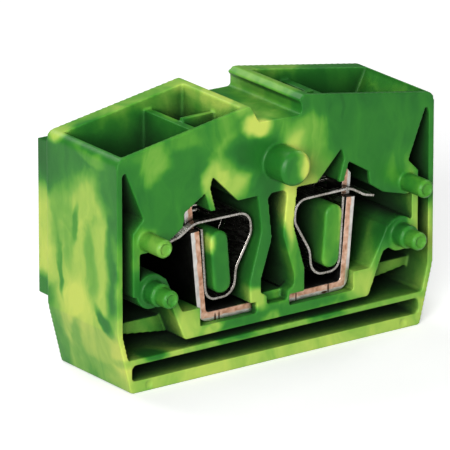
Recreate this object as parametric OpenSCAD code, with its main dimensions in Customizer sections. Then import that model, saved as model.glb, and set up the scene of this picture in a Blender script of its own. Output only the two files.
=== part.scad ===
// Four-conductor miniature terminal block with cage-clamp springs.
// +X runs along the block, -Y points out of its open front, +Z is up.
// The origin is the middle of the base. Outlines are drawn as [x, z] and
// run back from the front face, so a depth is measured from that face.

/* [Housing] */
// Length of the housing along X
body_w = 32; // [31.8:0.1:32.4]
// Depth of the housing from front face to back face
body_d = 10; // [9.8:0.1:10.6]
// Height of the two inner corners beside the marker groove
peak_z = 22.3; // [22.1:0.1:22.8]
// Height of the two outer top corners
shoulder_z = 20.1; // [19.9:0.1:20.4]
// Length of the base, between its two slanted ends
base_w = 29.4; // [29:0.1:30]
// Height at which the slanted ends meet the upright side walls
chamfer_z = 5.15; // [4.9:0.05:5.4]
// Thickness of the side walls
side_t = 0.5; // [0.4:0.05:0.6]
// Thickness of the front wall over the pockets
front_t = 0.45; // [0.35:0.05:0.5]
// Thickness of the back wall
back_t = 1.4; // [1.2:0.1:1.6]
// Radius of the outer top corners
corner_r = 0.8; // [0.4:0.1:1]

/* [Marker groove] */
// Width of the groove between the two halves
groove_w = 4.8; // [4.6:0.1:5]
// Height of the groove's floor
groove_z = 20.6; // [20.4:0.1:20.9]
// How far the snap-in lip on the right stands into the groove
lip = 0.27; // [0.1:0.01:0.3]
// How far the slanted left side runs into the groove
ramp = 0.55; // [0.3:0.05:0.7]
// Thickness of the wall between the groove and a pocket
cheek_t = 1.05; // [0.8:0.05:1.2]

/* [Pockets] */
// Distance of each divider's inner face from the middle of the block
divider_x = 6.55; // [6.4:0.05:6.7]
// Thickness of the dividers
divider_t = 0.75; // [0.5:0.05:0.9]
// Height of the dividers' top edge
divider_z = 20.6; // [20:0.1:20.8]
// Thickness of the ribs that part the front and rear operating pockets
rib_t = 0.45; // [0.3:0.05:0.6]
// Depth of the middle of those ribs
rib_depth = 4.3; // [4.1:0.1:4.4]
// Height of the ribs' top edge
rib_z = 20.9; // [20:0.1:21.2]

/* [Base] */
// Thickness of the base
base_t = 1; // [0.8:0.05:1.1]
// Height of the shelf between the two long slots
shelf_z = 2.35; // [2.2:0.05:2.45]
// Thickness of the shelf
shelf_t = 0.5; // [0.4:0.05:0.6]
// Height of the underside of the clamp chamber's floor
floor_z = 3.6; // [3.5:0.05:3.65]
// Thickness of the clamp chamber's floor
floor_t = 0.8; // [0.6:0.05:0.85]

/* [Pegs and pad] */
// Radius of the locating pegs
peg_r = 0.78; // [0.7:0.02:0.9]
// How far the pegs stand out of the front face
peg_len = 2.85; // [2.5:0.05:2.95]
// Distance of the upper pegs from the middle of the block
upper_peg_x = 13.2; // [13.1:0.05:13.3]
// Height of the upper pegs
upper_peg_z = 12.85; // [12.7:0.05:12.95]
// Distance of the lower pegs from the middle of the block
lower_peg_x = 12.6; // [12.5:0.05:12.7]
// Height of the lower pegs
lower_peg_z = 8.4; // [8.3:0.05:8.5]
// Radius of the collar at the foot of each lower peg
collar_r = 1; // [0.95:0.05:1.3]
// How far that collar stands out of the front face
collar_len = 1.3; // [1:0.1:1.5]
// Radius of the upright column behind each lower peg
column_r = 1.5; // [1.4:0.05:1.6]
// Radius of the middle boss on the front wall
boss_r = 1.5; // [1.4:0.05:1.6]
// How far the middle boss stands out of the front wall
boss_len = 2.7; // [2:0.1:2.8]
// Height of the middle boss
boss_z = 17.1; // [16.8:0.1:17.3]
// Thickness of the raised pad on the back
pad_t = 1.7; // [1.6:0.05:1.9]
// Length of the pad
pad_w = 31.4; // [31:0.1:31.6]
// Height of the pad's lower edge
pad_low_z = 5.7; // [5.4:0.1:6]
// Height of the pad's upper edge
pad_high_z = 19; // [18.7:0.1:19.2]
// Radial clearance of the sockets round a neighbour's pegs
socket_gap = 0.05; // [0.03:0.01:0.08]

/* [Current bar] */
// Thickness of the bar
bar_t = 0.85; // [0.7:0.05:0.9]
// How far the bar's front edge lies behind the front face
bar_inset = 0.6; // [0.5:0.05:0.7]
// Height of the shoulders below the cage strips
bar_shoulder_z = 12.4; // [12:0.05:12.45]
// Height of the bar's tongues
bar_tip_z = 14.7; // [14:0.1:14.8]
// How far the notches in the bar's edges clear the latch at its ends
bar_notch_gap = 0.1; // [0.05:0.05:0.2]

/* [Clamp springs] */
// Thickness of the spring strip
spring_t = 0.24; // [0.2:0.02:0.3]
// Width of each spring strip
spring_w = 3.5; // [3.2:0.1:3.6]
// Gap between the front and rear springs
spring_gap = 0.5; // [0.3:0.05:0.6]
// Width of the rails beside the cage window
rail_w = 0.6; // [0.5:0.05:0.7]
// Side clearance of the bar's tongue in the cage window
window_gap = 0.1; // [0.05:0.05:0.2]

/* [Hidden] */

GREEN = "#5aa845";
TIN = "#d6d2cc";
STEEL = "#a9a9a6";
EPS = 0.05;                            // overlap that joins or cuts cleanly
ABOVE = peak_z + 5;                    // any height well over the housing

front_y = -body_d / 2;                 // the front face
inner_d = body_d - back_t;             // depth of the back wall's inner face
side_x = body_w / 2 - side_t;          // inner face of a side wall
pocket_x = groove_w / 2 + cheek_t;     // inner wall of an operating pocket
divider_out = divider_x + divider_t;   // outer face of a divider
floor_top = floor_z + floor_t;

// Clamp chamber, right half
chamber_z = 14.45;                     // top of the chamber beside the middle
star_tip = [divider_x - 0.05, 17];      // top corner of the star-shaped window
waist = [1.62, 11.3];                  // outer side of a middle wall, narrowest
foot = [2.8, 7.2];                     // outer side of a middle wall, widest
wall_t = 1.05;                         // thickness of the middle walls
foot_z = 5.32;                         // underside of the middle walls
block_x = 7.8;                         // inner face of the stop beside the bar
block_z = 6;                           // top of that stop
brace_low = [9.35, floor_z];           // outer foot of a brace
brace_high = [10.85, 7.2];             // outer side of a brace at its column
rib_in = 13.8;                         // inner face of the upright side ribs
rib_out = 14.45;                       // outer face of those ribs
latch_d = 1.3;                         // depth of the latch between the feet
latch_end = [-2.1, 1.2];               // both ends of the latch, below the middle walls
skirt_t = 0.25;                        // thickness of the skirt behind the latch's dip
cover_t = 0.3;                         // thickness of the plastic over the bar between the walls
web_d = 2.7;                           // depth of the webs in the lower corners
web_top = 5.15;

// Posts inside the springs
post_low = [5.52, 7.68];
post_high = [5.81, 11.33];
post_r = 0.87;
post_inset = 0.05;
post_bevel = 0.12;                     // step in the edge round their front ends

// Current bar, right half of its centre line
bar_foot = [7.2, floor_top + bar_t / 2 + 0.01];
bar_tip = [8.1, bar_tip_z];
bar_bend_r = 0.75;
bar_slope = (bar_tip[0] - bar_foot[0]) / (bar_tip[1] - bar_foot[1]);
bar_back = inner_d - 0.3;              // depth of the bar's rear edge
bar_notch_d = latch_d + 0.15 - bar_inset;   // how deep the notches cut into the bar
wedge = 0.6;                           // height of the wedge at the tongues' tips
function bar_at(z) = [bar_foot[0] + bar_slope * (z - bar_foot[1]), z];

// Clamp springs, right half, as corners [x, z, bend radius] of the centre line
spring_split = [5.45, 6.25];           // lowest point, where leg and cage meet
spring_leg_top = 12.5;
leg_off = bar_t / 2 + spring_t / 2 + 0.03;
leg_lean = 0.15;                       // how far the leg's top stands off the bar
cage_corners = [[spring_split[0], spring_split[1], 0],
                [3.95, 6.25, 1.25], [3.75, 8.5, 2], [2.2, 11.2, 1.3],
                [2.3, 13.05, 1.15], [7.9, 13.1, 1.8], [9.35, 12.25, 1.5],
                [10.35, 12, 0]];
window_x = [5.6, 8.52];                // both ends of the cage's window
spring_rows = [bar_inset + 0.05, bar_inset + 0.05 + spring_w + spring_gap];

// ---- curves -------------------------------------------------------------

function unit(v) = v / norm(v);
function xz(p) = [p[0], p[1]];

// The arc that rounds the corner b of the line a-b-c with radius r.
function arc(a, b, c, r, n = 6) =
    let(u = unit(a - b), v = unit(c - b), half = acos(u * v) / 2)
    (r <= 0 || half > 89.5) ? [b] :
    let(centre = b + unit(u + v) * r / sin(half),
        p = b + u * r / tan(half), q = b + v * r / tan(half),
        first = atan2(p[1] - centre[1], p[0] - centre[0]),
        raw = atan2(q[1] - centre[1], q[0] - centre[0]) - first,
        sweep = raw > 180 ? raw - 360 : raw < -180 ? raw + 360 : raw)
    [for (i = [0:n]) centre + r * [cos(first + sweep * i / n), sin(first + sweep * i / n)]];

// A closed outline with its corners rounded.
function rounded(c) = let(n = len(c))
    [for (i = [0:n - 1]) each arc(xz(c[(i + n - 1) % n]), xz(c[i]), xz(c[(i + 1) % n]),
                                  len(c[i]) > 2 ? c[i][2] : 0)];

// An open line with its inner corners rounded.
function rounded_line(c) = let(n = len(c) - 1)
    [xz(c[0]), for (i = [1:n - 1]) each arc(xz(c[i - 1]), xz(c[i]), xz(c[i + 1]), c[i][2]), xz(c[n])];

// The outline of a strip of thickness t along the line p.
function strip(p, t) = let(n = len(p) - 1,
    side = [for (i = [0:n]) let(d = unit(p[min(i + 1, n)] - p[max(i - 1, 0)])) [-d[1], d[0]] * t / 2])
    concat([for (i = [0:n]) p[i] + side[i]], [for (i = [n:-1:0]) p[i] - side[i]]);

// Points of one half, followed by the same points mirrored to the other half.
function whole(c) = concat(c, [for (i = [len(c) - 1:-1:0])
    [-c[i][0], c[i][1], len(c[i]) > 2 ? c[i][2] : 0]]);

// Extrudes an [x, z] outline from depth d1 to depth d2 behind the front face.
module slab(d1, d2)
    translate([0, front_y + d2, 0]) rotate([90, 0, 0]) linear_extrude(d2 - d1) children();

module both_sides() {
    children();
    mirror([1, 0, 0]) children();
}

// A round bar along Y, from depth d1 to depth d2.
module bar_y(x, z, r, d1, d2)
    translate([x, front_y + d2, z]) rotate([90, 0, 0]) cylinder(h = d2 - d1, r = r, $fn = 48);

// ---- housing outlines ---------------------------------------------------

module outline() {
    lip_z = peak_z - 0.42;
    polygon(rounded(concat(
        [[-groove_w / 2 + ramp, groove_z + 0.15, 0.3],
         [-groove_w / 2 - 0.36, peak_z, 0.3]],
        whole([[-body_w / 2, shoulder_z, corner_r],
               [-body_w / 2, chamfer_z, 0.8],
               [-base_w / 2, 0, 0.15]]),
        [[groove_w / 2 + 0.3, peak_z, 0.3],
         [groove_w / 2 - lip, lip_z, 0.12],
         [groove_w / 2, lip_z - 0.4, 0.1],
         [groove_w / 2, groove_z, 0.35]])));
}

// Open at the front: the clamp chamber of the right half.
module chamber() {
    polygon(rounded([
        [-EPS, floor_top],
        [block_x, floor_top],
        [block_x, block_z],
        [brace_low[0] + 0.15, block_z],
        [brace_high[0] - 0.05, lower_peg_z],
        [lower_peg_x, lower_peg_z],
        [rib_in, lower_peg_z + 0.9],
        [rib_in, upper_peg_z - 1.05, 0.2],
        [upper_peg_x, upper_peg_z - 1.15, 0.2],
        [10.85, 12.35, 0.15],
        [9.45, 13.3, 0.3],
        [9.3, chamber_z, 0.15],
        [divider_out - 0.05, 15.7],
        [6.78, 14.1],
        [6.22, 14.1],
        [divider_x + 0.22, 16.05],
        star_tip,
        [3.95, chamber_z, 0.15],
        [2, chamber_z + 0.05],
        [waist[0], waist[1], 2],
        [foot[0], foot[1], 0.8],
        [foot[0] - 0.08, foot_z],
        [-EPS, foot_z]]));
}

// Open at the front: the gap between the two middle walls.
module middle_gap() {
    polygon(rounded(whole([
        [1, chamber_z, 0.5],
        [waist[0] - wall_t, waist[1] - 0.7, 1.5],
        [foot[0] - wall_t - 0.05, foot[1] - 0.1, 0.5],
        [foot[0] - wall_t - 0.05, foot_z - EPS]])));
}

// Open at the front: the corner outside a brace, with the long slot
// over the shelf, and the wedge-shaped gap that runs up beside the funnel.
module corner() {
    low_x = (body_w - base_w) / 2 * (shelf_z + shelf_t) / chamfer_z + base_w / 2 - side_t;
    polygon(rounded([
        [-EPS, shelf_z + shelf_t],
        [low_x, shelf_z + shelf_t, 0.2],
        [side_x, chamfer_z, 0.6],
        [side_x, 18.4, 0.5],
        [side_x - 0.25, 19.2, 0.15],
        [side_x - 2.1, 14.65, 0.15],
        [rib_out, upper_peg_z + 0.75, 0.3],
        [rib_out, lower_peg_z - 0.2],
        [lower_peg_x, lower_peg_z - 0.5],
        [brace_high[0], brace_high[1]],
        [brace_low[0], brace_low[1], 0.2],
        [-EPS, floor_z]]));
}

module low_slot() {
    slot_x = base_w / 2 - 0.1;
    r = 0.45;
    polygon(rounded([[slot_x, base_t, r], [slot_x, shelf_z, r],
                     [-slot_x, shelf_z, r], [-slot_x, base_t, r]]));
}

// Behind the front wall: the wire funnel of the right half.
module funnel() {
    polygon(rounded([
        [divider_out, ABOVE],
        [side_x - 0.2, ABOVE],
        [side_x - 0.2, 20, 0.5],
        [12.65, 14.5, 1],
        [11.15, 12.2, 0.2],
        [8.5, 13],
        [6.95, 14.1],
        [divider_out, 15.8, 0.5]]));
}

// Behind the front wall: the operating pocket of the right half.
module operating_pocket() {
    polygon([[pocket_x, ABOVE], [divider_x, ABOVE], [divider_x, 16],
             [6.3, 14], [pocket_x + 0.4, 14], [pocket_x, 15]]);
}

module divider_top() {
    translate([divider_x - EPS, divider_z]) square([divider_t + 2 * EPS, ABOVE - divider_z]);
}

module brace_column() {
    translate([lower_peg_x, lower_peg_z]) circle(r = column_r, $fn = 48);
    polygon([brace_high, [brace_high[0] - 0.05, lower_peg_z], [brace_high[0] + 0.35, lower_peg_z + 0.85],
             [lower_peg_x, lower_peg_z + column_r - 0.05], [lower_peg_x, lower_peg_z - 0.6]]);
}

module post(r) {
    hull() {
        translate(post_low) circle(r = r, $fn = 48);
        translate(post_high) circle(r = r, $fn = 48);
    }
}

module latch() {
    difference() {
        polygon(rounded(whole([[foot[0] - wall_t + EPS, floor_top - EPS], [foot[0] - wall_t + EPS, 6.15],
                               [1.05, 5.7, 0.1], [1, 4.95, 0.15]])));
        translate([latch_end[1], floor_top - 1]) square([2, foot_z - floor_top + 1]);
    }
    translate([latch_end[0], floor_top - EPS]) square([0.6, foot_z - floor_top + 2 * EPS]);
}

// From the height z up to the top of the plastic over the bar, between the middle walls.
module bar_cover(z) {
    half_w = foot[0] - wall_t + EPS;
    intersection() {
        translate([-half_w, z]) square([2 * half_w, foot_z + cover_t - z]);
        translate([-half_w, z]) square([half_w + latch_end[1], ABOVE]);
    }
}

// ---- housing details ----------------------------------------------------

module upper_peg() {
    tip = 0.25;
    bar_y(upper_peg_x, upper_peg_z, peg_r, tip - peg_len, EPS);
    translate([upper_peg_x, front_y - peg_len + tip, upper_peg_z]) rotate([90, 0, 0])
        cylinder(h = tip, r1 = peg_r, r2 = peg_r - tip, $fn = 48);
}

module lower_peg() {
    tip = 0.25;
    bar_y(lower_peg_x, lower_peg_z, collar_r, -collar_len, EPS);
    bar_y(lower_peg_x, lower_peg_z, peg_r, tip - peg_len, 0);
    translate([lower_peg_x, front_y - peg_len + tip, lower_peg_z]) rotate([90, 0, 0])
        cylinder(h = tip, r1 = peg_r, r2 = peg_r - tip, $fn = 48);
}

module middle_boss() {
    rim = 0.3;
    bar_y(0, boss_z, boss_r, rim - boss_len, EPS);
    translate([0, front_y - boss_len + rim, boss_z]) rotate([90, 0, 0])
        cylinder(h = rim, r1 = boss_r, r2 = boss_r - rim, $fn = 48);
}

// A blind hole in the back for a round peg, with a conical bottom.
module socket(x, z, r, len) {
    back = body_d + pad_t;
    depth = len + 0.1;
    point = 0.3;
    bar_y(x, z, r + socket_gap, back - depth, back + EPS);
    translate([x, front_y + back - depth, z]) rotate([90, 0, 0])
        cylinder(h = point, r1 = r + socket_gap, r2 = 0, $fn = 48);
}

// The holes that take the pegs and the boss of the next block.
module back_sockets() {
    both_sides() {
        socket(upper_peg_x, upper_peg_z, peg_r, peg_len);
        socket(lower_peg_x, lower_peg_z, peg_r, peg_len);
        bar_y(lower_peg_x, lower_peg_z, collar_r + socket_gap,
              body_d + pad_t - collar_len - 0.1, body_d + pad_t + EPS);
    }
    socket(0, boss_z, boss_r, boss_len);
}

module housing() {
    corner_web = [[brace_low[0] + 0.15, floor_z], [side_x + EPS, floor_z + 0.8],
                  [side_x + EPS, web_top], [brace_low[0] + 0.8, web_top]];
    color(GREEN) difference() {
        union() {
            difference() {
                slab(0, body_d) outline();
                slab(-EPS, inner_d) both_sides() {
                    chamber();
                    corner();
                }
                slab(-EPS, inner_d) middle_gap();
                slab(-EPS, inner_d) low_slot();
                slab(front_t, inner_d) both_sides() {
                    funnel();
                    operating_pocket();
                    divider_top();
                }
            }
            slab(0, inner_d + EPS) both_sides() brace_column();
            slab(post_inset, inner_d + EPS) both_sides() post(post_r - post_bevel);
            slab(post_inset + post_bevel, inner_d + EPS) both_sides() post(post_r);
            slab(0, latch_d) latch();
            slab(latch_d - skirt_t, latch_d + EPS) bar_cover(floor_top - EPS);
            slab(latch_d, inner_d + EPS) bar_cover(foot_z);
            slab(web_d, inner_d + EPS) both_sides() polygon(corner_web);
            slab(rib_depth - rib_t / 2, rib_depth + rib_t / 2) both_sides()
                translate([pocket_x - EPS, 16.6]) square([divider_x - pocket_x + 2 * EPS, rib_z - 16.6]);
            slab(inner_d - 1, inner_d + EPS) both_sides()
                translate([upper_peg_x, upper_peg_z]) circle(r = peg_r + 0.6, $fn = 48);
            slab(body_d - EPS, body_d + pad_t)
                translate([-pad_w / 2, pad_low_z]) square([pad_w, pad_high_z - pad_low_z]);
            both_sides() {
                upper_peg();
                lower_peg();
            }
            middle_boss();
        }
        back_sockets();
    }
}

// ---- current bar --------------------------------------------------------

// The tongue's outer corner is cut off, so that its tip is a wedge.
module bar_tongue(depth) {
    line = [bar_at(bar_shoulder_z - 0.5), bar_tip];
    slab(depth + rail_w + window_gap, depth + spring_w - rail_w - window_gap)
        both_sides() difference() {
            polygon(strip(line, bar_t));
            translate(bar_tip + [bar_t / 2, -wedge]) rotate(40) square(2);
        }
}

module current_bar() {
    shoulder = bar_at(bar_shoulder_z);
    line = rounded_line([[shoulder[0], shoulder[1], 0], [bar_foot[0], bar_foot[1], bar_bend_r],
                         [-bar_foot[0], bar_foot[1], bar_bend_r], [-shoulder[0], shoulder[1], 0]]);
    color(TIN) difference() {
        union() {
            slab(bar_inset, bar_back) polygon(strip(line, bar_t));
            for (depth = spring_rows) bar_tongue(depth);
        }
        for (edge = [bar_inset, bar_back])
            slab(edge - bar_notch_d, edge + bar_notch_d)
                translate([latch_end[0] - bar_notch_gap, floor_z])
                    square([latch_end[1] - latch_end[0] + 2 * bar_notch_gap, 3]);
    }
}

// ---- clamp springs ------------------------------------------------------

// side is 1 on the right and -1 on the left.
module on_side(side) mirror([side < 0 ? 1 : 0, 0, 0]) children();

module spring_leg(side, depth) {
    foot_x = bar_at(spring_split[1])[0] - leg_off;
    top_x = bar_at(spring_leg_top)[0] - leg_off - leg_lean;
    line = rounded_line([[spring_split[0] + 0.02, spring_split[1], 0],
                         [foot_x, spring_split[1], 1], [top_x, spring_leg_top, 0]]);
    color(STEEL) on_side(side) slab(depth, depth + spring_w) polygon(strip(line, spring_t));
}

module spring_cage(side, depth) {
    color(STEEL) on_side(side) difference() {
        slab(depth, depth + spring_w) polygon(strip(rounded_line(cage_corners), spring_t));
        slab(depth + rail_w, depth + spring_w - rail_w)
            translate([window_x[0], 12]) square([window_x[1] - window_x[0], 2]);
    }
}

housing();
current_bar();
spring_leg(-1, spring_rows[0]);  // left_front_spring_leg
spring_cage(-1, spring_rows[0]);  // left_front_spring_cage
spring_leg(-1, spring_rows[1]);  // left_rear_spring_leg
spring_cage(-1, spring_rows[1]);  // left_rear_spring_cage
spring_leg(1, spring_rows[0]);  // right_front_spring_leg
spring_cage(1, spring_rows[0]);  // right_front_spring_cage
spring_leg(1, spring_rows[1]);  // right_rear_spring_leg
spring_cage(1, spring_rows[1]);  // right_rear_spring_cage
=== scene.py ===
"""Looks of the four-conductor terminal block: marbled housing, tinned current bar and clamp springs."""

import math

import bmesh
import bpy
from mathutils import Matrix, Vector


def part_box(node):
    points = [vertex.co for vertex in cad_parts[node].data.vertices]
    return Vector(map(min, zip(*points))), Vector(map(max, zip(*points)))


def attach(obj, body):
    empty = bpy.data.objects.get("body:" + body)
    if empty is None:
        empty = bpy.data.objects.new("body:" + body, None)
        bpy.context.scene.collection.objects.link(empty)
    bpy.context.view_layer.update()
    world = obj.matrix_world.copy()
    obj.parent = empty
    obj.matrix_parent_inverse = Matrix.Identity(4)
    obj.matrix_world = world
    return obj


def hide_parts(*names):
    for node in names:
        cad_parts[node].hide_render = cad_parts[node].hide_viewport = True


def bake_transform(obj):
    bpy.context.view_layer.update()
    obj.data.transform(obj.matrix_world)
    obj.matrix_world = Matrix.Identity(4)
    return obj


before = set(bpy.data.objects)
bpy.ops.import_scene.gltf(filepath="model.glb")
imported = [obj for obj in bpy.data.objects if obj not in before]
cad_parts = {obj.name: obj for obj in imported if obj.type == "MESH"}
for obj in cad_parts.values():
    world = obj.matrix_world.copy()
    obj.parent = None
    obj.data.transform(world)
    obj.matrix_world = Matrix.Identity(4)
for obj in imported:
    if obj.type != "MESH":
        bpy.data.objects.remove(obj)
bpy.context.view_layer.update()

MM = 0.001                      # the frame is in metres, and the sizes below are in millimetres
FLAT = math.radians(0.4)        # faces that turn less than this are one flat face
WELD = 0.002                    # points this near are one point

# Camera
LOOK_AT = (0.0, 0.0, 11.0)      # point of the block that the camera is set up around
CAMERA_AZIMUTH = -35.8
CAMERA_ELEVATION = 18.53
CAMERA_DISTANCE = 560.0
AIM_RIGHT = -1.4                # the frame's centre lies this far right of LOOK_AT
AIM_UP = -0.71                  # and this far above it
LENS = 544.0
SENSOR = 36.0

# Lights: name, azimuth, elevation, distance and size in metres, power
SOFTBOXES = [("key", -48, 20, 0.45, 0.2, 2.5), ("back", 190, 46, 0.45, 0.24, 0.8),
             ("right_fill", 96, 42, 0.5, 0.2, 0.6), ("front_fill", 8, 14, 0.5, 0.26, 0.4)]
WORLD_LIGHT = 0.1
FLOOR_HALF = 3.0                # metres
FLOOR_Z = -0.02                 # just clear of the underside
FLOOR_GLOW = 0.4

# Housing details
VOXEL = 0.1                     # grid of the moulded skin
RELAX_PASSES = 3                # these round its edges
KEPT_SHARE = 0.25               # of its faces, after thinning
FRONT_Y = -5.0
PEGS = [(13.2, 12.85), (12.6, 8.4)]     # X and Z of the two pegs of the right half
PEG_DIMPLE_R = 0.5
PEG_DIMPLE_DEPTH = 0.22
EJECTOR_PLACE = (12.95, 0.5)    # X and Z of the right half's ejector mark
EJECTOR_R = 0.34
EJECTOR_DEPTH = 0.08
RECESS_REACH = 14.0             # faces this near darken each other in the painted shade
CLOSED_SKY, OPEN_SKY = 0.12, 0.6        # shares of open sky where the painted shade of a recess is darkest and where it ends
MARBLE_FADE = 0.62              # share of a colour patch that is soft edge

# Current bar: centre line of its right half, and the marks that the punch left on its edge
BAR_FOOT_X = 7.2
BAR_FOOT_Z = 4.83
BAR_SLOPE = 0.091
PUNCH_MARKS = [((-5.9, -4.4, 4.6), (0.1, 0.6, 0.45)), ((-5.5, -4.4, 4.7), (0.08, 0.6, 0.4)),
               ((5.6, -4.4, 4.9), (0.1, 0.6, 0.4)), ((5.2, -4.4, 4.6), (0.3, 0.5, 0.1)),
               ((2.3, -4.4, 4.8), (0.07, 0.6, 0.5))]
BAR_ROUNDING = 0.06

# Clamp springs
SPLIT_X = 5.45                  # leg and cage of a spring meet here, below SPLIT_TOP
SPLIT_TOP = 6.6
SPLIT_REACH = 0.06
SPRING_ROUNDING = 0.05


# ---- geometry helpers ---------------------------------------------------

def vec(x, y, z):
    """A point given in millimetres."""
    return Vector((x, y, z)) * MM


def new_object(name, mesh):
    obj = bpy.data.objects.new(name, mesh)
    bpy.context.scene.collection.objects.link(obj)
    return obj


def cad_copy(node, name):
    """A new object with the node's solid, its flat faces joined up again."""
    bm = bmesh.new()
    bm.from_mesh(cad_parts[node].data)
    bmesh.ops.remove_doubles(bm, verts=bm.verts, dist=WELD * MM)
    bmesh.ops.dissolve_limit(bm, angle_limit=FLAT, verts=bm.verts, edges=bm.edges)
    mesh = bpy.data.meshes.new(name)
    bm.to_mesh(mesh)
    bm.free()
    return new_object(name, mesh)


def drill(obj, holes):
    """Cuts round recesses: each hole is (centre, direction, radius, depth)."""
    bm = bmesh.new()
    for centre, direction, radius, depth in holes:
        turn = Vector(direction).to_track_quat("Z", "Y").to_matrix().to_4x4()
        place = Matrix.Translation(vec(*centre)) @ turn
        bmesh.ops.create_cone(bm, cap_ends=True, segments=32, radius1=radius * MM,
                              radius2=radius * MM, depth=2 * depth * MM, matrix=place)
    mesh = bpy.data.meshes.new("cutter")
    bm.to_mesh(mesh)
    bm.free()
    cutter = new_object("cutter", mesh)
    cut = obj.modifiers.new("cut", "BOOLEAN")
    cut.operation = "DIFFERENCE"
    cut.solver = "EXACT"
    cut.object = cutter
    apply_modifiers(obj)
    bpy.data.objects.remove(cutter)


def apply_modifiers(obj):
    graph = bpy.context.evaluated_depsgraph_get()
    graph.update()
    mesh = bpy.data.meshes.new_from_object(obj.evaluated_get(graph))
    obj.modifiers.clear()
    obj.data = mesh


def round_edges(obj, width, segments=3, angle=28, keep=None):
    """Rounds every edge sharper than angle, except those that keep() names."""
    bm = bmesh.new()
    bm.from_mesh(obj.data)
    bmesh.ops.dissolve_limit(bm, angle_limit=FLAT, verts=bm.verts, edges=bm.edges)
    sharp = [e for e in bm.edges if len(e.link_faces) == 2
             and e.calc_face_angle(0) > math.radians(angle)
             and not (keep and keep(e))]
    bmesh.ops.bevel(bm, geom=sharp, offset=width * MM, segments=segments, profile=0.5,
                    affect="EDGES", clamp_overlap=False, miter_outer="ARC", loop_slide=True)
    bmesh.ops.remove_doubles(bm, verts=bm.verts, dist=2 * WELD * MM)
    bmesh.ops.dissolve_degenerate(bm, edges=bm.edges, dist=WELD * MM)
    bmesh.ops.triangulate(bm, faces=[f for f in bm.faces if len(f.verts) > 4])
    bm.to_mesh(obj.data)
    bm.free()


def mould(obj, voxel, passes, share):
    """Rebuilds a solid as one skin with the soft edges of a moulding, and thins its mesh."""
    obj.data.transform(Matrix.Scale(1 / MM, 4))
    skin = obj.modifiers.new("skin", "REMESH")
    skin.mode = "VOXEL"
    skin.voxel_size = voxel
    relax = obj.modifiers.new("relax", "SMOOTH")
    relax.factor = 0.5
    relax.iterations = passes
    thin = obj.modifiers.new("thin", "DECIMATE")
    thin.ratio = share
    apply_modifiers(obj)
    obj.data.transform(Matrix.Scale(MM, 4))
    obj.data.shade_smooth()
    weighted = obj.modifiers.new("weighted", "WEIGHTED_NORMAL")
    weighted.weight = 100
    apply_modifiers(obj)


def smooth_normals(obj, angle=48):
    """Shades rounded edges smooth. A corner leans to its largest faces, so flat faces stay flat."""
    mesh = obj.data
    faces = [(p.normal.copy(), p.area) for p in mesh.polygons]
    around = [[] for _ in mesh.vertices]
    for polygon in mesh.polygons:
        for index in polygon.vertices:
            around[index].append(polygon.index)
    same = math.cos(math.radians(angle))
    normals = [None] * len(mesh.loops)
    for polygon in mesh.polygons:
        polygon.use_smooth = True
        for loop, index in zip(polygon.loop_indices, polygon.vertices):
            near = [faces[i] for i in around[index] if faces[i][0].dot(polygon.normal) > same]
            total = sum((normal * area for normal, area in near), Vector())
            normals[loop] = total.normalized() if total.length > 0 else polygon.normal
    mesh.normals_split_custom_set(normals)


# ---- material helpers ---------------------------------------------------

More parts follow.
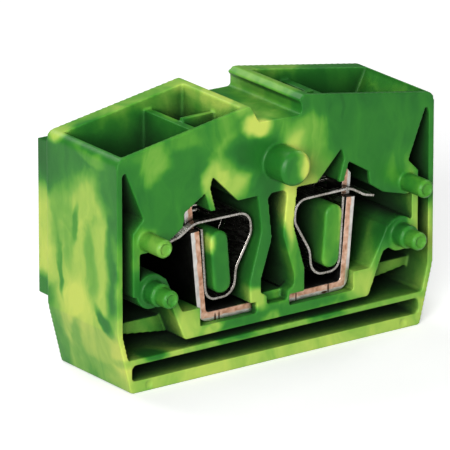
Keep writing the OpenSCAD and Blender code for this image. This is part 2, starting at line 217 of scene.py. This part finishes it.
class Material:
    """A node material under construction. Node inputs may be sockets or plain values."""

    def __init__(self, name):
        self.material = bpy.data.materials.new(name)
        self.material.use_nodes = True
        self.tree = self.material.node_tree
        self.shader = self.tree.nodes["Principled BSDF"]

    def node(self, kind, inputs=(), **settings):
        made = self.tree.nodes.new(kind)
        for key, value in settings.items():
            setattr(made, key, value)
        for key, value in dict(inputs).items():
            self.set(made.inputs[key], value)
        return made

    def set(self, socket, value):
        if isinstance(value, bpy.types.NodeSocket):
            self.tree.links.new(value, socket)
        else:
            socket.default_value = value

    def math(self, operation, a, b=0.0, c=0.0):
        return self.node("ShaderNodeMath", {0: a, 1: b, 2: c}, operation=operation).outputs[0]

    def millimetres(self):
        coords = self.node("ShaderNodeTexCoord").outputs["Object"]
        scaled = self.node("ShaderNodeVectorMath", {0: coords, "Scale": 1 / MM}, operation="SCALE")
        return scaled.outputs[0]

    def noise(self, vector, scale, detail=2.0, roughness=0.5, distortion=0.0):
        settings = {"Vector": vector, "Scale": scale, "Detail": detail, "Roughness": roughness,
                    "Distortion": distortion}
        return self.node("ShaderNodeTexNoise", settings)

    def stretch(self, vector, scale):
        made = self.node("ShaderNodeVectorMath", {0: vector, 1: scale}, operation="MULTIPLY")
        return made.outputs[0]

    def remap(self, value, low, high, to_low, to_high, smooth=False):
        kind = "SMOOTHSTEP" if smooth else "LINEAR"
        ends = {"Value": value, "From Min": low, "From Max": high, "To Min": to_low, "To Max": to_high}
        return self.node("ShaderNodeMapRange", ends, interpolation_type=kind).outputs[0]

    def ramp(self, value, stops):
        made = self.node("ShaderNodeValToRGB", {"Fac": value})
        elements = made.color_ramp.elements
        while len(elements) > 1:
            elements.remove(elements[-1])
        elements[0].position, elements[0].color = stops[0][0], (*stops[0][1], 1)
        for position, colour in stops[1:]:
            elements.new(position).color = (*colour, 1)
        return made.outputs["Color"]

    def mix(self, factor, a, b):
        made = self.node("ShaderNodeMix", data_type="RGBA")
        self.set(made.inputs[0], factor)
        self.set(made.inputs[6], a if isinstance(a, bpy.types.NodeSocket) else (*a, 1))
        self.set(made.inputs[7], b if isinstance(b, bpy.types.NodeSocket) else (*b, 1))
        return made.outputs[2]

    def add(self, a, b):
        return self.node("ShaderNodeVectorMath", {0: a, 1: b}, operation="ADD").outputs[0]

    def axes(self, vector):
        return self.node("ShaderNodeSeparateXYZ", {0: vector}).outputs[:]

    def centred_noise(self, vector, scale, reach):
        """A vector that wanders about zero, up to about half of reach."""
        wander = self.noise(vector, scale, detail=1).outputs["Color"]
        terms = {0: wander, 1: (reach,) * 3, 2: (-reach / 2,) * 3}
        return self.node("ShaderNodeVectorMath", terms, operation="MULTIPLY_ADD").outputs[0]

    def patch(self, vector, centre, radii, axis="X", tilt=0, fade=0.34):
        """1 in the middle of an ellipsoid and 0 outside it. A share, fade, of the way in to the middle
        is edge, and the radii reach to halfway through that edge."""
        turn = [math.radians(tilt) if axis == name else 0 for name in "XYZ"]
        reach = [radius / (1 - fade / 2) for radius in radii]
        frame_of_ball = {"Vector": vector, "Location": centre, "Rotation": turn, "Scale": reach}
        place = self.node("ShaderNodeMapping", frame_of_ball, vector_type="TEXTURE").outputs[0]
        ball = self.node("ShaderNodeTexGradient", {"Vector": place}, gradient_type="SPHERICAL")
        return self.remap(ball.outputs["Fac"], 0, fade, 0, 1, smooth=True)

    def painted_shade_mask(self, own_faces=False):
        """1 on open faces, sinking to 0 in recesses, where the faces around leave little open sky. This
        is the mask of the painted shade in recesses. With own_faces only the object's own faces count."""
        sky = self.node("ShaderNodeAmbientOcclusion", {"Distance": RECESS_REACH * MM}, samples=6,
                        only_local=own_faces)
        return self.remap(sky.outputs["AO"], CLOSED_SKY, OPEN_SKY, 0, 1, smooth=True)

    def bump(self, height, distance, normal=None):
        made = self.node("ShaderNodeBump", {"Height": height, "Distance": distance * MM,
                                            "Strength": 1.0})
        if normal is not None:
            self.set(made.inputs["Normal"], normal)
        return made.outputs["Normal"]

    def finish(self, **inputs):
        for key, value in inputs.items():
            self.set(self.shader.inputs[key.replace("_", " ")], value)
        return self.material


def paint(obj, material):
    obj.data.materials.clear()
    obj.data.materials.append(material)


# ---- materials ----------------------------------------------------------

# How far the housing's colour has gone from green towards yellow
DEEP, GREEN, LEAF, LIME, LIGHT, LEMON, YELLOW = 0.14, 0.30, 0.46, 0.64, 0.8, 0.93, 1.0

# Colour patches: centre, radii, colour and, where it isn't 0, the tilt about X or Y. Most are where the
# two colours settled; some, marked below, are painted shade or painted light.
LEFT_WALL = [
    ((-16, 0, 9.5), (1.7, 9, 10.8), LIGHT),
    ((-16, 0, 20.8), (1.7, 9, 2.6), GREEN),
    ((-16, 4.6, 18.8), (1.7, 4, 3), GREEN),
    ((-16, -4.6, 17.8), (1.7, 2.4, 3.2), GREEN),
    ((-16, -1.4, 19.6), (1.5, 2.6, 0.5), LEAF, "X", 12),
    ((-16, -4.6, 10.9), (1.5, 1.15, 4.9), GREEN),
    ((-16, 0.9, 6.4), (1.6, 2.6, 2), LEMON),
    ((-16, 2.9, 12.6), (1.3, 1.9, 3), LIME),
    ((-16, -1.2, 10.4), (1.3, 0.8, 3), LIME, "X", -12),
    ((-16, 1.1, 13), (1.3, 0.45, 2.2), LEAF, "X", 10),
    ((-16, 3.3, 8.8), (1.3, 0.4, 2.4), LEAF, "X", -10),
    ((-16, -3.7, 5.9), (1.4, 2, 0.5), GREEN, "X", 42),
    ((-15.4, 4.8, 3), (1.8, 1.5, 4), LEAF),
    ((-15.4, 1.9, 2.6), (1.6, 0.6, 3), LIME, "X", 34),
    ((-15.4, -5, 2.4), (1.3, 1.5, 4), YELLOW),
    ((-15.8, -5.1, 11.2), (0.5, 0.7, 3.6), LIME),
    ((-15.7, 6.2, 17.6), (1.6, 1.7, 3.2), DEEP),
    ((-15.7, 6.2, 11), (1.6, 1.7, 4.6), LEMON),
    ((-15.7, 6.2, 5.8), (1.6, 1.7, 1.4), GREEN),
    ((-15.7, 4.4, 20.4), (1.3, 1.4, 0.9), LIGHT),
]
FRONT_WALL = [
    ((-9, -5, 16.4), (8.5, 1.6, 6.8), GREEN),
    ((-8.6, -5, 21), (7.5, 1.3, 0.9), LEAF, "Y", -9),
    ((-12.2, -5, 19.2), (1.5, 1.4, 1.4), LIME),
    ((-6.2, -5, 20.4), (1.8, 1.4, 1.9), LEAF),
    ((-5.2, -5, 16.9), (2, 1.6, 2.5), LIGHT),
    ((-6.7, -5, 16.7), (1.2, 1.5, 1.2), LIGHT),
    ((-2.4, -5, 18.3), (3.4, 1.6, 1.3), DEEP),
    ((-2.2, -5, 20.6), (1.3, 1.4, 0.85), YELLOW),
    ((-0.6, -5, 16.6), (1.7, 1.9, 2.6), DEEP),
    ((3.3, -5, 17.7), (3, 1.6, 3.2), LIME),
    ((3.9, -5, 15.2), (2.6, 1.6, 1.6), LIGHT),
    ((3.8, -5, 21.6), (3.6, 1.6, 1.1), GREEN),
    ((10.9, -5, 17.6), (5.6, 1.6, 6.8), DEEP),
    ((10.9, -5, 16.4), (5.2, 1.6, 5), GREEN),
    ((12.9, -5, 14.2), (1.7, 1.8, 1.5), LEAF),
    ((6.45, -5, 20.8), (0.16, 0.6, 1.3), DEEP),
    ((-0.4, -6.8, 17.2), (1.7, 2.4, 2), GREEN),
    ((1.7, -6.6, 17.4), (1.25, 3, 2.2), YELLOW),
    ((15.7, -5, 15), (0.9, 1.6, 6.5), GREEN),
    ((15.6, -4, 5), (1.1, 4, 5), LIGHT),
]
INSIDE = [
    ((-1.9, -3, 10.5), (1, 5, 5.6), GREEN),
    ((-2.2, -4.8, 5.8), (0.9, 1.3, 1), LIGHT),
    # painted light: yellow on the right middle wall, where it faces the light from the left
    ((1.5, -4, 13), (0.9, 4, 3.4), YELLOW),
    ((2.1, -4, 8.4), (1, 4, 3), LEAF),
    ((0, -4.4, 5.4), (1.2, 1.5, 0.9), LEAF),
    ((-5.6, -4.5, 9.5), (1.2, 4, 3.4), GREEN),
    ((-6.9, -3.4, 11), (0.9, 3, 1.1), YELLOW),
    ((5.4, -3.5, 9.5), (1.2, 4, 3.4), LEAF),
    ((6.8, -4.2, 10.6), (0.7, 2.6, 2.4), LIGHT),
    ((-13.2, -6.6, 12.9), (1.4, 2.4, 1.3), LIME),
    ((-14.1, -4.8, 10.4), (0.6, 1.1, 2.8), LEAF),
    # darker around the base of the left lower peg
    ((-12.6, -4.6, 8.4), (2.2, 1.9, 2.2), DEEP),
    ((-12.6, -7.4, 8.4), (1.1, 1.5, 1.1), LEAF),
    ((13.2, -6.4, 12.9), (1.3, 2.6, 1.3), LEAF),
    # darker around the base of the right lower peg
    ((12.2, -4.6, 8.6), (2, 1.9, 2), DEEP),
    ((12.6, -7.3, 8.4), (1.1, 1.3, 1.1), LEAF),
    ((14.1, -4.8, 11), (0.6, 1.2, 3), LIME),
    # painted light: yellow on the right wall's inner face, which faces the light from the left
    ((14.9, -2.5, 5), (0.9, 5, 4.5), YELLOW),
    # painted shade: dark green at the back of the left and right chambers and funnels, where little
    # light reaches
    ((-9.8, 1.6, 13.6), (4.6, 4, 7.5), DEEP),
    ((10, 1.6, 15.6), (5, 4, 7.5), DEEP),
]
BASE = [
    ((0, -4, 0.4), (19, 4, 1.5), LIGHT),
    ((0, -4.6, 2.7), (17, 2.4, 0.55), LIME),
    ((-11.4, -2.6, 2.7), (4.4, 3.6, 0.7), LIGHT),
    ((-12.4, -4.6, 2.7), (1.1, 1.8, 0.5), GREEN),
    ((-4, -4.6, 2.7), (1.7, 1.8, 0.5), GREEN),
    ((5.2, -4.6, 2.7), (1.6, 1.8, 0.5), GREEN),
    ((0, -4.6, 4), (7.5, 1.8, 0.8), GREEN),
    ((-6.4, -4.6, 3.9), (1.2, 1.8, 0.8), LIGHT),
    ((-0.6, -4.6, 3.9), (1, 1.8, 0.8), LIME),
    ((-8.9, -4.4, 4.8), (1.9, 1.9, 1.9), LIGHT),
    ((8.8, -4.4, 4.9), (1.6, 1.9, 1.4), LIGHT),
    ((13.4, -3.6, 5.2), (3.4, 3.6, 3.2), LIME),
]
TOP = [
    ((-10, 4.8, 21.6), (7, 1.1, 1.6), LIME),
    ((-3.4, 0, 22.2), (1.2, 6, 0.9), LIGHT),
    ((-1.2, -1.6, 20.6), (1.2, 1.4, 0.6), LIGHT),
    ((3.4, 1, 22.3), (1.2, 5, 0.9), LIME),
    ((6, 4.5, 21.6), (4.6, 1.3, 1.3), LIME),
    ((13.6, 1.5, 20.6), (4, 5, 1.6), GREEN),
]


def marbled_polyamide():
    """Green and yellow plastic that never mixed fully: soft patches over a swirl, with painted shade
    that turns recesses and the backs of the chambers greener and darker, and painted light on two faces
    towards the light from the left.
    """
    m = Material("marbled_polyamide")
    mm = m.millimetres()
    warped = m.add(m.add(mm, m.centred_noise(mm, 0.25, 2.0)), m.centred_noise(mm, 0.9, 0.6))
    flow = m.stretch(m.add(mm, m.centred_noise(mm, 0.14, 9.0)), (1.0, 0.8, 0.5))
    swirl = m.noise(flow, 0.2, detail=2, distortion=0.5).outputs["Fac"]
    share = m.remap(swirl, 0.35, 0.65, GREEN, LIME, smooth=True)
    for centre, radii, level, *tilt in LEFT_WALL + FRONT_WALL + INSIDE + BASE + TOP:
        inside = m.patch(warped, centre, radii, *tilt, fade=MARBLE_FADE)
        share = m.math("MULTIPLY_ADD", inside, m.math("SUBTRACT", level, share), share)
    cloud = m.noise(m.stretch(warped, (1.0, 1.0, 0.4)), 0.45, detail=3, distortion=0.9).outputs["Fac"]
    share = m.math("ADD", share, m.remap(cloud, 0.25, 0.75, -0.12, 0.12))
    # painted shade: the less open sky a face sees, the greener and darker it is made
    shade_and_roughness_mask = m.painted_shade_mask(own_faces=True)
    share = m.math("MULTIPLY", share, m.remap(shade_and_roughness_mask, 0, 0.9, 0.45, 1))
    colour = m.ramp(share, [(0.0, (0.008, 0.095, 0.010)), (0.22, (0.015, 0.150, 0.016)),
                            (0.38, (0.030, 0.210, 0.020)), (0.5, (0.080, 0.310, 0.028)),
                            (0.66, (0.190, 0.430, 0.056)), (0.82, (0.380, 0.570, 0.090)),
                            (1.0, (0.580, 0.690, 0.120))])
    # painted shade: near black deep in recesses, where little open sky is seen
    colour = m.mix(shade_and_roughness_mask, (0.002, 0.012, 0.002), colour)
    grain = m.noise(mm, 9.0, detail=3, roughness=0.6).outputs["Fac"]
    sink = m.noise(mm, 0.9, detail=1).outputs["Fac"]
    normal = m.bump(sink, 0.02, normal=m.bump(grain, 0.004))
    shine = m.remap(grain, 0.3, 0.7, 0.38, 0.46)
    roughness = m.math("MAXIMUM", shine, m.remap(shade_and_roughness_mask, 0, 1, 0.85, 0.4))
    return m.finish(Base_Color=colour, Roughness=roughness, Normal=normal, Specular_IOR_Level=0.22,
                    Subsurface_Weight=0.12, Subsurface_Radius=(0.6, 1.0, 0.3), Subsurface_Scale=0.6 * MM)


def tinned_copper():
    """Tin plate all over, with bare copper on the inner half of the cut edges, a few punch marks, and
    painted shade in recesses and where the housing closes round the bar.
    """
    m = Material("tinned_copper")
    mm = m.millimetres()
    x, _, z = m.axes(mm)
    above_foot = m.math("SUBTRACT", z, BAR_FOOT_Z)
    leg_x = m.math("MULTIPLY_ADD", above_foot, BAR_SLOPE, BAR_FOOT_X)
    inward = m.math("MINIMUM", m.math("SUBTRACT", leg_x, m.math("ABSOLUTE", x)), above_foot)
    ragged = m.noise(mm, 2.2, detail=4).outputs["Fac"]
    bare = m.remap(m.math("MULTIPLY_ADD", ragged, 0.3, inward), 0.02, 0.14, 0, 1, smooth=True)
    facing = m.axes(m.node("ShaderNodeNewGeometry").outputs["Normal"])[1]
    cut_face = m.remap(m.math("ABSOLUTE", facing), 0.55, 0.9, 0, 1)
    wear = m.noise(mm, 1.4, detail=3).outputs["Fac"]
    tin = m.ramp(wear, [(0.3, (0.44, 0.42, 0.39)), (0.7, (0.68, 0.66, 0.62))])
    copper = m.ramp(ragged, [(0.35, (0.38, 0.19, 0.11)), (0.55, (0.60, 0.36, 0.25)),
                             (0.75, (0.72, 0.52, 0.40))])
    colour = m.mix(m.math("MULTIPLY", bare, cut_face), tin, copper)
    for centre, radii in PUNCH_MARKS:
        colour = m.mix(m.patch(mm, centre, radii), colour, (0.10, 0.05, 0.03))
    # painted shade: darker, down to near black, in recesses and where the housing hides the bar
    colour = m.mix(m.painted_shade_mask(), (0.01, 0.012, 0.008), colour)
    scratches = m.noise(m.stretch(mm, (4, 1.2, 4)), 1.5, detail=4).outputs["Fac"]
    return m.finish(Base_Color=colour, Metallic=1.0, Roughness=m.remap(ragged, 0.3, 0.7, 0.28, 0.42),
                    Normal=m.bump(scratches, 0.0015))


def spring_steel():
    """Rolled strip: fine streaks along Y, with a few darker stains."""
    m = Material("spring_steel")
    mm = m.millimetres()
    streak = m.noise(m.stretch(mm, (5, 0.6, 5)), 1.6, detail=4).outputs["Fac"]
    stain = m.noise(mm, 0.8, detail=2).outputs["Fac"]
    colour = m.ramp(m.math("MULTIPLY_ADD", streak, 0.6, m.math("MULTIPLY", stain, 0.4)),
                    [(0.35, (0.15, 0.13, 0.11)), (0.5, (0.30, 0.28, 0.25)), (0.65, (0.50, 0.48, 0.45))])
    return m.finish(Base_Color=colour, Metallic=1.0, Roughness=m.remap(streak, 0.3, 0.7, 0.2, 0.34),
                    Normal=m.bump(streak, 0.0015))


# ---- pieces -------------------------------------------------------------

def housing(material):
    piece = cad_copy("housing", "housing_moulding")
    tip_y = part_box("housing")[0].y / MM
    inwards = (0, 1, 0)
    holes = []
    for side in (-1, 1):
        for x, z in PEGS:
            holes.append(((side * x, tip_y, z), inwards, PEG_DIMPLE_R, PEG_DIMPLE_DEPTH))
        x, z = EJECTOR_PLACE
        holes.append(((side * x, FRONT_Y, z), inwards, EJECTOR_R, EJECTOR_DEPTH))
    drill(piece, holes)
    mould(piece, VOXEL, RELAX_PASSES, KEPT_SHARE)
    paint(piece, material)
    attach(piece, "block")
    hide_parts("housing")


def current_bar(material):
    piece = cad_copy("current_bar", "current_bar_strip")
    round_edges(piece, BAR_ROUNDING)
    smooth_normals(piece)
    paint(piece, material)
    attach(piece, "block")
    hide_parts("current_bar")


def spring(side, row, material):
    name = f"{side}_{row}"
    split_x = SPLIT_X if side == "right" else -SPLIT_X

    def at_split(edge):
        return all(abs(v.co.x / MM - split_x) < SPLIT_REACH and v.co.z / MM < SPLIT_TOP
                   for v in edge.verts)

    for part in ("leg", "cage"):
        node = f"{name}_spring_{part}"
        piece = cad_copy(node, f"{name}_clamp_{part}")
        round_edges(piece, SPRING_ROUNDING, keep=at_split)
        smooth_normals(piece)
        paint(piece, material)
        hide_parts(node)
        if part == "leg":
            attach(piece, "block")
        else:
            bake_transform(piece)


def build_block():
    plastic, tin, steel = marbled_polyamide(), tinned_copper(), spring_steel()
    housing(plastic)
    current_bar(tin)
    for side in ("left", "right"):
        for row in ("front", "rear"):
            spring(side, row, steel)


# ---- stage --------------------------------------------------------------

def direction(azimuth, elevation):
    """The unit vector from the block towards a camera or light; azimuth 0 is in front of the block."""
    a, e = math.radians(azimuth), math.radians(elevation)
    return Vector((math.sin(a) * math.cos(e), -math.cos(a) * math.cos(e), math.sin(e)))


def add_floor():
    half, z = FLOOR_HALF, FLOOR_Z * MM
    mesh = bpy.data.meshes.new("floor")
    mesh.from_pydata([(-half, -half, z), (half, -half, z), (half, half, z), (-half, half, z)], [],
                     [(0, 1, 2, 3)])
    floor = new_object("floor", mesh)
    m = Material("floor_paper")
    fibre = m.noise(m.millimetres(), 2.0, detail=3).outputs["Fac"]
    paper = m.ramp(fibre, [(0.3, (0.86, 0.86, 0.86)), (0.7, (0.88, 0.88, 0.88))])
    paint(floor, m.finish(Base_Color=paper, Roughness=0.9, Emission_Color=paper,
                          Emission_Strength=FLOOR_GLOW))
    floor.visible_diffuse = False


def softbox(name, azimuth, elevation, distance, size, power):
    light = bpy.data.lights.new(name, "AREA")
    light.shape = "SQUARE"
    light.size = size
    light.energy = power
    obj = bpy.data.objects.new(name, light)
    bpy.context.scene.collection.objects.link(obj)
    back = direction(azimuth, elevation)
    obj.location = vec(*LOOK_AT) + back * distance
    obj.rotation_euler = back.to_track_quat("Z", "Y").to_euler()


def add_lights():
    world = bpy.data.worlds.new("studio")
    bpy.context.scene.world = world
    world.use_nodes = True
    background = world.node_tree.nodes["Background"]
    background.inputs["Color"].default_value = (1, 1, 1, 1)
    background.inputs["Strength"].default_value = WORLD_LIGHT
    for box in SOFTBOXES:
        softbox(*box)


def add_camera():
    back = direction(CAMERA_AZIMUTH, CAMERA_ELEVATION)
    turn = back.to_track_quat("Z", "Y")
    right, up = turn @ Vector((1, 0, 0)), turn @ Vector((0, 1, 0))
    camera = bpy.data.cameras.new("camera")
    camera.sensor_width = SENSOR
    camera.lens = LENS
    camera.clip_start = 0.01
    camera.clip_end = 20
    obj = bpy.data.objects.new("camera", camera)
    bpy.context.scene.collection.objects.link(obj)
    aim = vec(*LOOK_AT) + right * (AIM_RIGHT * MM) + up * (AIM_UP * MM)
    obj.location = aim + back * (CAMERA_DISTANCE * MM)
    obj.rotation_euler = turn.to_euler()
    bpy.context.scene.camera = obj


add_camera()
add_floor()
add_lights()
bpy.context.scene.view_settings.view_transform = "Standard"
build_block()
